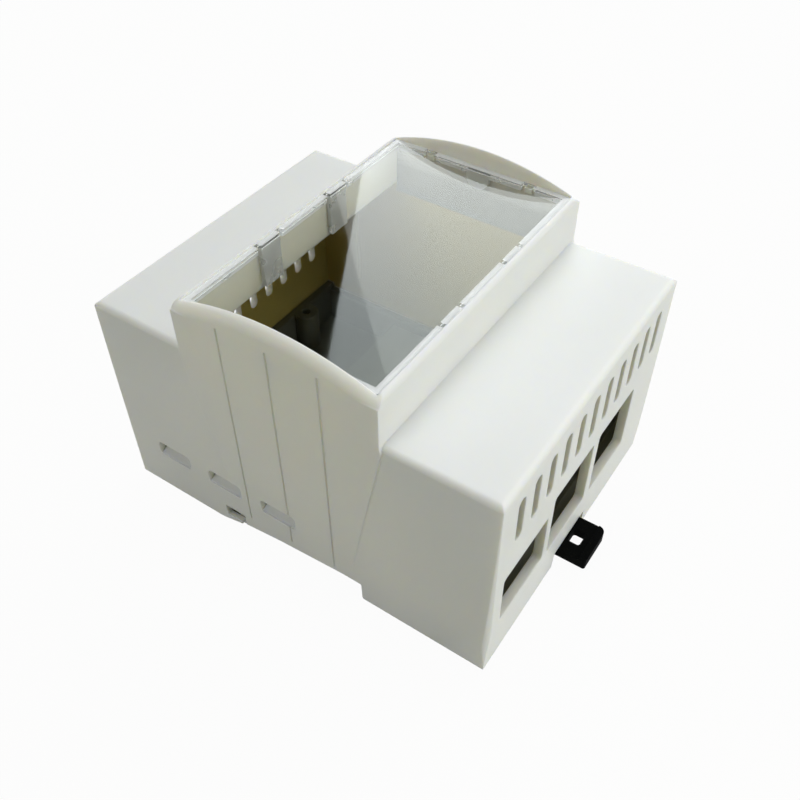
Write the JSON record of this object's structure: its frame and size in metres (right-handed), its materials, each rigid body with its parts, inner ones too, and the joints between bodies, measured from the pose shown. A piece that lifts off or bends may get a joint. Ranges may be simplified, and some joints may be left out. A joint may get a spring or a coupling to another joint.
{
  "type": "din rail enclosure",
  "caption": "Modular electronics enclosure that clips on a top-hat rail, with vented terminal faces, connector openings, a clear lift-off window and a sliding rail clip.",
  "frame": {"origin": "in the plane of the rail seat, under the middle of the nose", "axes": "+Z away from the rail towards the window, +X along the rail, +Y along the body from the sliding clip to the fixed hooks"},
  "size_m": [0.07, 0.0959, 0.0638],
  "materials": {
    "housing_plastic": "light grey moulded, very fine grain with a soft sheen",
    "base_plastic": "light grey moulded, satin",
    "clear_plastic": "clear polished",
    "black_plastic": "black moulded, semi-gloss"
  },
  "bodies": {
    "enclosure": {"housing": "housing_plastic", "base": "base_plastic"},
    "window": {"window": "clear_plastic"},
    "rail_clip": {"rail_clip": "black_plastic"}
  },
  "joints": [
    {"name": "clip_slide", "type": "slide", "parent": "enclosure", "child": "rail_clip", "axis": [0, -1, 0], "range_m": [0, 0.004], "stiffness_N_per_m": 1500},
    {"name": "window_lift", "type": "slide", "parent": "enclosure", "child": "window", "axis": [0, 0, 1], "range_m": [0, 0.03]}
  ]
}
